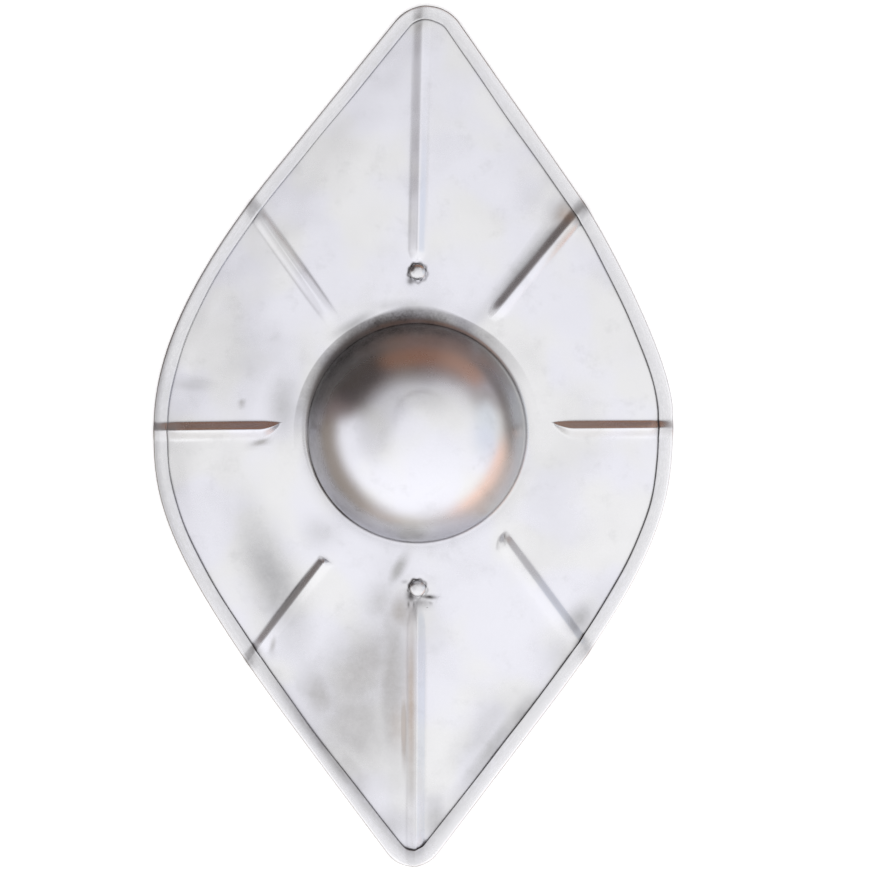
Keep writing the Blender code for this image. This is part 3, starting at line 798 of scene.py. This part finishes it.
def buildStrap():
    curve = bpy.data.curves.new("strapPlan", "CURVE")
    curve.dimensions = "2D"
    curve.fill_mode = "BOTH"
    curve.extrude = strap["thickness"] / 2
    waistX, waistY = strap["waistHalfWidth"], strap["waistHalfLength"]
    border = [(waistX, -waistY), (waistX, waistY)]
    border += arcPoints((0, rivet["above"]), strap["endRadius"], 0, 180, 36)
    border += [(-waistX, waistY), (-waistX, -waistY)]
    border += arcPoints((0, -rivet["below"]), strap["endRadius"], 180, 360, 36)
    closedSpline(curve, border)
    for end in (-rivet["below"], rivet["above"]):
        closedSpline(curve, arcPoints((0, end), rivet["hole"], 0, 350, 35))
    thing = addPiece("strapPlan", curve)
    thing.location = (rivet["x"], sheet["boss"].y, strap["top"] - strap["thickness"] / 2)
    piece = applied(thing, "gripStrap")
    remesh = piece.modifiers.new("even", "REMESH")
    remesh.mode = "VOXEL"
    remesh.voxel_size = strap["voxel"]
    soften = piece.modifiers.new("soften", "SMOOTH")
    soften.factor = 0.5
    soften.iterations = 3
    piece = applied(piece, "gripStrap")
    places = meshArray(piece.data)
    hammered = waves(places[:, :2], 31, 10, 0.012, 0.045)
    middle = strap["top"] - strap["thickness"] / 2
    places[:, 2] += strap["marks"] * hammered * np.sign(middle - places[:, 2]) * (places[:, 2] < middle)
    piece.data.vertices.foreach_set("co", places.ravel())
    piece.data.update()
    piece.data.shade_smooth()
    return piece


def buildRivet(name, centre, seed):
    # domed head, shank and peened tail, turned round the axis and then marked by the hammer
    headRadius, headHeight, seat = rivet["headRadius"], rivet["headHeight"], rivet["headSeat"]
    domeRadius = (headRadius ** 2 + headHeight ** 2) / (2 * headHeight)
    domeAngle = math.asin(headRadius / domeRadius)
    crown = seat + headHeight
    profile = []
    for step in range(1, 15):
        angle = domeAngle * step / 14
        profile.append((domeRadius * math.sin(angle), crown - domeRadius * (1 - math.cos(angle))))
    profile += [(headRadius, seat - 0.0001), (headRadius - 0.0003, seat - 0.0003),
                (rivet["shank"], seat - 0.0003)]
    tailTop = strap["top"] - strap["thickness"] - strap["clearance"]
    profile += [(rivet["shank"], tailTop), (rivet["tailRadius"] - 0.0002, tailTop),
                (rivet["tailRadius"], tailTop - 0.0002)]
    for step in range(1, 8):
        angle = math.radians(90 * step / 8)
        profile.append((rivet["tailRadius"] * math.cos(angle) ** 0.8,
                        tailTop - 0.0002 - (rivet["tailHeight"] - 0.0002) * math.sin(angle)))
    count = rivet["sides"]
    angles = math.tau * np.arange(count) / count
    rows = [np.stack([radius * np.cos(angles), radius * np.sin(angles), np.full(count, height)], axis=1)
            for radius, height in profile]
    places = np.vstack([[(0, 0, crown)]] + rows + [[(0, 0, tailTop - rivet["tailHeight"])]])
    marks = waves(places[:, :2], seed, 10, 0.0028, 0.0080)
    outward = places.copy()
    outward[:, 2] -= seat - 0.004
    outward /= np.linalg.norm(outward, axis=1)[:, None]
    head = places[:, 2] > seat
    places += outward * (rivet["marks"] * marks * head)[:, None]
    tail = places[:, 2] < tailTop
    places[:, 2] += rivet["tailMarks"] * waves(places[:, :2], seed + 4, 8, 0.003, 0.008) * tail
    # painted shade round the head's edge, darkest at its upper left
    rim = smooth(0.80, 1.0, polar(places)[0] / headRadius) * ringShade(places)
    places += np.array((*centre, 0.0))
    mesh = bpy.data.meshes.new(name)
    mesh.from_pydata(places.tolist(), [], roundFaces(len(rows), count))
    setAttribute(mesh, "rim", rim)
    mesh.shade_smooth()
    mesh.set_sharp_from_angle(angle=math.radians(50))
    return addPiece(name, mesh)


def pierced(piece):               # the two holes that the rivets pass through
    drills = []
    for centre in (upperPlace, lowerPlace):
        cage = bmesh.new()
        bmesh.ops.create_cone(cage, cap_ends=True, segments=rivet["drillSides"], radius1=rivet["hole"],
                              radius2=rivet["hole"], depth=rivet["drillDepth"])
        mesh = bpy.data.meshes.new("drill")
        cage.to_mesh(mesh)
        cage.free()
        drill = addPiece("drill", mesh)
        drill.location = (*centre, rivet["headSeat"])
        drill.rotation_euler.z = rivet["drillTurn"]
        cut = piece.modifiers.new("hole", "BOOLEAN")
        cut.operation, cut.solver, cut.object = "DIFFERENCE", "EXACT", drill
        drills.append(drill)
    piece = applied(piece, piece.name)
    for drill in drills:
        bpy.data.objects.remove(drill)
    cage = bmesh.new()                # join the slivers that the cut leaves on the holes' edges
    cage.from_mesh(piece.data)
    reach = rivet["hole"] + 0.0002
    close = [vert for vert in cage.verts
             if any((vert.co.xy - centre).length < reach for centre in (upperPlace, lowerPlace))]
    bmesh.ops.remove_doubles(cage, verts=close, dist=rivet["rimMerge"])
    kept = {vert for vert in close if vert.is_valid}
    rim = [face for face in cage.faces if any(vert in kept for vert in face.verts)]
    bmesh.ops.triangulate(cage, faces=rim)
    cage.to_mesh(piece.data)
    cage.free()
    return piece


domedSheet = pierced(domedSheet)
gripStrap = buildStrap()
upperRivet = buildRivet("upperRivet", upperPlace, 42)
lowerRivet = buildRivet("lowerRivet", lowerPlace, 40)
print("strap:", len(gripStrap.data.vertices), "vertices; rivets:", len(upperRivet.data.vertices), "each")


class Wire:                       # a socket in a node tree; sums on it add Math nodes
    def __init__(self, tree, socket=None):
        self.tree, self.socket = tree, socket

    def node(self, kind, settings=None, values=None, output=0):
        made = self.tree.nodes.new("ShaderNode" + kind)
        for name, setting in (settings or {}).items():
            if name == "stops":
                setStops(made.color_ramp, setting)
            else:
                setattr(made, name, setting)
        for name, value in (values or {}).items():
            if isinstance(value, Wire):
                self.tree.links.new(value.socket, made.inputs[name])
            else:
                made.inputs[name].default_value = value
        return Wire(self.tree, made.outputs[output] if len(made.outputs) else None)

    def other(self, output):      # another output of the node that this wire comes from
        return Wire(self.tree, self.socket.node.outputs[output])

    def math(self, operation, *values):
        return self.node("Math", {"operation": operation}, dict(enumerate(values)))

    def painted(self, name):      # a value kept at the mesh's points
        return self.node("Attribute", {"attribute_name": name}, None, "Fac")

    def bumped(self, depth):
        return self.node("Bump", None, {"Height": self, "Distance": depth, "Strength": 1.0}, "Normal")

    def clamped(self):
        return self.node("Clamp", None, {0: self})

    def rise(self, low, high):    # 0 below low, 1 above high, smooth between; falls if low is above high
        if low > high:
            return 1 - self.rise(high, low)
        return self.node("MapRange", {"interpolation_type": "SMOOTHSTEP"}, {0: self, 1: low, 2: high})

    def mix(self, first, second):       # this wire is the share of the second colour
        return self.node("Mix", {"data_type": "RGBA"}, {0: self, 6: first, 7: second}, 2)

    def noise(self, size, detail=2.0, roughness=0.5, stretch=(1, 1, 1), turn=0.0):
        where = self.node("Mapping", {"vector_type": "TEXTURE"},
                          {"Vector": self, "Rotation": (0, 0, math.radians(turn)), "Scale": stretch})
        return where.node("TexNoise", None, {"Vector": where, "Scale": 1 / size, "Detail": detail,
                                             "Roughness": roughness})

    def __add__(self, other): return self.math("ADD", self, other)
    def __radd__(self, other): return self.math("ADD", other, self)
    def __sub__(self, other): return self.math("SUBTRACT", self, other)
    def __rsub__(self, other): return self.math("SUBTRACT", other, self)
    def __mul__(self, other): return self.math("MULTIPLY", self, other)
    def __rmul__(self, other): return self.math("MULTIPLY", other, self)
    def __truediv__(self, other): return self.math("DIVIDE", self, other)
    def __pow__(self, other): return self.math("POWER", self, other)


def setStops(ramp, stops):
    while len(ramp.elements) > 1:
        ramp.elements.remove(ramp.elements[-1])
    for index, (position, colour) in enumerate(stops):
        stop = ramp.elements[0] if index == 0 else ramp.elements.new(position)
        stop.position, stop.color = position, colour


polished = {                      # the sheet's hand-polished front and back
    "cool": (0.655, 0.655, 0.697, 1.0),
    "warm": (0.662, 0.662, 0.662, 1.0),
    # dark steel for stains and painted shade; brown for brown stains and a painted warm reflection
    "stainAndShade": (0.38, 0.38, 0.385, 1.0),
    "brownAndWarmReflection": (0.46, 0.39, 0.34, 1.0),
    "hem": (0.56, 0.56, 0.57, 1.0),
    "wornAndSheen": (0.82, 0.82, 0.83, 1.0),       # the outer fold, scuffed pale and painted pale as a reflection of the floor
    "wornAndSheenMetal": 0.32,
    # grime and painted shade
    "grimeAndShade": (0.075, 0.068, 0.068, 1.0),
    "roughness": 0.20,
    "cloudRoughness": 0.10,
    "scratchDepth": 0.000010,
}
ground = {                        # the strap, ground and left dull
    "light": (0.50, 0.50, 0.505, 1.0),
    "dark": (0.34, 0.335, 0.33, 1.0),
    "roughness": 0.36,
    "scratchDepth": 0.00003,
}
headSteel = {                     # the rivets
    "light": (0.62, 0.62, 0.63, 1.0),
    "dark": (0.25, 0.245, 0.24, 1.0),
    "roughness": 0.26,
    "spotDepth": 0.00004,
}


def newMaterial(name):
    material = bpy.data.materials.new(name)
    material.use_nodes = True
    material.node_tree.nodes.clear()
    return material, Wire(material.node_tree)


def finishSteel(board, colour, roughness, normal, metallic=1.0):
    shader = board.node("BsdfPrincipled", None, {"Base Color": colour, "Metallic": metallic,
                                                 "Roughness": roughness, "Normal": normal})
    board.node("OutputMaterial", None, {"Surface": shader})


def polishedSteel():
    material, board = newMaterial("polishedSteel")
    place = board.node("TexCoord", None, None, "Object")
    grimeAndShade, stainAndShade, brownAndWarmReflection, hem, fold, inset, aroundX, aroundY = (
        board.painted(name)
        for name in ("grimeAndShade", "stainAndShade", "brownAndWarmReflection", "hem", "fold", "inset", "aroundX", "aroundY"))
    facing = board.node("SeparateXYZ", None, {0: board.node("NewGeometry", None, None, "Normal")}, 2)
    clouds = place.noise(0.070, 3, 0.55)
    mottle = place.noise(0.014, 4, 0.6)
    grain = place.noise(0.0016, 3, 0.6)
    tint = place.noise(0.055, 2, 0.5, (1, 1, 1), 40).rise(0.42, 0.60)
    level = facing.rise(0.60, 0.90)
    lines = (place.noise(0.0010, 3, 0.6, (1, 34, 1), 12)
             + place.noise(0.0012, 3, 0.6, (30, 1, 1), -8) - 1) * 0.5 * level
    clean = tint.mix(polished["cool"], polished["warm"])
    faint = (clouds.rise(0.45, 0.75) * 0.16 + mottle.rise(0.52, 0.8) * 0.18
             + (grain - 0.5) * 0.10).clamped()
    alongHem = board.node("CombineXYZ", None, {0: aroundX * 0.25, 1: aroundY * 0.25, 2: inset * 9})
    streaks = alongHem.noise(0.0065, 5, 0.75) * 0.65 + place.noise(0.0022, 4, 0.7) * 0.35
    wornAndSheen = faint.mix(clean, polished["stainAndShade"])
    filed = (hem * (0.10 + 1.4 * streaks.rise(0.28, 0.72))).clamped()
    wornAndSheen = filed.mix(wornAndSheen, polished["hem"])
    # the outer fold and some rib flanks: worn, and painted pale as a reflection of the floor
    wearAndSheenShare = (fold * (0.80 + 0.4 * streaks)).clamped()
    wornAndSheen = wearAndSheenShare.mix(wornAndSheen, polished["wornAndSheen"])
    broken = (mottle * 0.9 + grain * 0.35 - 0.12).clamped()
    spread = (stainAndShade * (0.55 + 0.7 * broken)).clamped()
    # stains with painted shade, and brown with a painted warm reflection
    stainedAndShaded = spread.mix(wornAndSheen, brownAndWarmReflection.clamped().mix(polished["stainAndShade"], polished["brownAndWarmReflection"]))
    dirtAndShade = (grimeAndShade * (0.62 + 0.75 * mottle + (grain - 0.5) * 0.5)).clamped()
    # grime and painted shade
    colour = dirtAndShade.mix(stainedAndShaded, polished["grimeAndShade"])
    roughness = polished["roughness"] + clouds.rise(0.35, 0.7) * polished["cloudRoughness"] \
        + lines * 0.10 + spread * 0.10 + dirtAndShade * 0.30
    metallic = 1 - wearAndSheenShare * (1 - dirtAndShade) * (1 - polished["wornAndSheenMetal"])
    finishSteel(board, colour, roughness, lines.bumped(polished["scratchDepth"]), metallic)
    return material


def groundSteel():
    material, board = newMaterial("groundSteel")
    place = board.node("TexCoord", None, None, "Object")
    grain = place.noise(0.0011, 4, 0.65, (1, 22, 1), 3)
    clouds = place.noise(0.018, 4, 0.6)
    pits = place.noise(0.0022, 2, 0.5).rise(0.66, 0.76)
    share = (clouds.rise(0.35, 0.70) * 0.6 + (grain - 0.45) * 0.5 + pits * 0.5).clamped()
    colour = share.mix(ground["light"], ground["dark"])
    roughness = ground["roughness"] + share * 0.16 + (grain - 0.5) * 0.10
    finishSteel(board, colour, roughness, (grain - pits * 0.8).bumped(ground["scratchDepth"]))
    return material


def rivetSteel():
    material, board = newMaterial("rivetSteel")
    place = board.node("TexCoord", None, None, "Object")
    rim = board.painted("rim")
    spots = place.noise(0.0012, 4, 0.6)
    # rim: painted shade round the head's edge; spots: dark marks in the steel
    share = (rim * (0.45 + spots * 0.9) + spots.rise(0.55, 0.75) * 0.20).clamped()
    colour = share.mix(headSteel["light"], headSteel["dark"])
    roughness = headSteel["roughness"] + share * 0.20
    finishSteel(board, colour, roughness, spots.bumped(headSteel["spotDepth"]))
    return material


finishes = {"shield_steel": polishedSteel(), "grip_steel": groundSteel(), "rivet_steel": rivetSteel()}
for piece, node, finish in ((domedSheet, "shield", "shield_steel"), (gripStrap, "grip", "grip_steel"),
                            (upperRivet, "rivet_upper", "rivet_steel"),
                            (lowerRivet, "rivet_lower", "rivet_steel")):
    piece.data.materials.append(finishes[finish])
    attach(piece, "root")
    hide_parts(node)
print("steel finishes made")


floorPlan = {"half": 4.0, "below": 0.0003, "colour": (0.95, 0.95, 0.95, 1.0), "glow": 0.22}

studio = {
    "overhead": (1.27, 1.265, 1.285, 1.0),
    "brightSide": 272, "gain": 0.17,       # degrees anticlockwise from +X; how much brighter it is there
    "backdrop": (1.0, 1.0, 1.0, 1.0),      # seen only by the camera, beyond the floor
    # what stands round the table: azimuth, elevation, half width and half height in degrees, how soft
    # its edge is, colour
    "around": {
        "ceiling shade": (128, 50, 80, 18, 0.65, (0.96, 0.95, 0.965, 1.0)),
        "ground": (270, -32, 400, 34, 0.75, (0.61, 0.565, 0.53, 1.0)),
        "warm ground": (215, -38, 56, 34, 0.5, (0.70, 0.58, 0.475, 1.0)),
        "left ground": (196, -14, 46, 21.5, 0.9, (0.385, 0.33, 0.27, 1.0)),
        "wall top": (115, 27, 47, 15.5, 0.4, (0.47, 0.45, 0.45, 1.0)),
        "dark wall": (105, -4, 66, 38, 0.25, (0.27, 0.21, 0.195, 1.0)),
        "darkest corner": (135, 3, 22.5, 28, 0.6, (0.095, 0.078, 0.074, 1.0)),
        "dark floor edge": (114, -46, 56, 38, 0.5, (0.085, 0.075, 0.072, 1.0)),
        "grey screen": (34, 8, 18, 23, 0.5, (0.6, 0.56, 0.57, 1.0)),
        "brick wall": (90, 11.5, 26, 11.5, 0.65, (0.395, 0.19, 0.115, 1.0)),
        "brick lamp glow": (56, 7, 16, 13, 0.7, (0.62, 0.35, 0.24, 1.0)),
        "table edge": (28, -12, 40, 9, 0.6, (0.25, 0.22, 0.21, 1.0)),
        "copper glow": (-36, -1, 28, 6, 0.8, (1.38, 0.88, 0.69, 1.0)),
        "window": (3, 20, 22, 12.5, 0.7, (1.04, 1.09, 1.18, 1.0)),
    },
}


def buildFloor():
    mesh = bpy.data.meshes.new("floor")
    half, low = floorPlan["half"], -floorPlan["below"]
    corners = [(x * half, y * half, low) for x, y in ((-1, -1), (1, -1), (1, 1), (-1, 1))]
    mesh.from_pydata(corners, [], [(0, 1, 2, 3)])
    thing = addPiece("floor", mesh)
    material, board = newMaterial("paleFloor")
    shader = board.node("BsdfDiffuse", None, {"Color": floorPlan["colour"], "Roughness": 0.0})
    glow = board.node("Emission", None, {"Color": floorPlan["colour"], "Strength": floorPlan["glow"]})
    board.node("OutputMaterial", None, {"Surface": board.node("AddShader", None, {0: shader, 1: glow})})
    mesh.materials.append(material)
    thing.visible_glossy = False       # the steel mirrors the room, not the floor
    return thing


def paintRoom():                  # a bright room round the table, painted by direction
    world = bpy.data.worlds.new("room")
    bpy.context.scene.world = world
    world.use_nodes = True
    world.node_tree.nodes.clear()
    board = Wire(world.node_tree)
    direction = board.node("TexCoord", None, None, "Generated")
    x = board.node("SeparateXYZ", None, {0: direction})
    y, z = x.other("Y"), x.other("Z")
    azimuth = board.math("ARCTAN2", y, x) * (180 / math.pi)
    elevation = board.math("ARCSINE", z) * (180 / math.pi)
    side = math.radians(studio["brightSide"])
    lean = x * math.cos(side) + y * math.sin(side)
    colour = studio["overhead"]
    for towards, height, halfWidth, halfHeight, soft, paint in studio["around"].values():
        across = board.math("WRAP", azimuth - towards, 180.0, -180.0) / halfWidth
        upward = (elevation - height) / halfHeight
        away = (across * across * across * across + upward * upward * upward * upward) ** 0.25
        colour = away.rise(1 + soft / 2, 1 - soft / 2).mix(colour, paint)
    strength = 1 + lean * studio["gain"]
    lit = board.node("Background", None, {"Color": colour, "Strength": strength})
    plain = board.node("Background", None, {"Color": studio["backdrop"], "Strength": 1.0})
    seen = board.node("LightPath", None, None, "Is Camera Ray")
    mixed = board.node("MixShader", None, {0: seen, 1: lit, 2: plain})
    board.node("OutputWorld", None, {"Surface": mixed})


view = {"x": 0.0143, "y": 0.0011, "height": 1.384, "lens": 85.0, "sensor": 36.0}


def placeCamera():
    lens = bpy.data.cameras.new("camera")
    lens.lens, lens.sensor_width = view["lens"], view["sensor"]
    thing = addPiece("camera", lens)
    thing.location = (view["x"], view["y"], view["height"])
    bpy.context.scene.camera = thing


buildFloor()
paintRoom()
placeCamera()
bpy.context.scene.view_settings.view_transform = "Standard"
print("studio set")
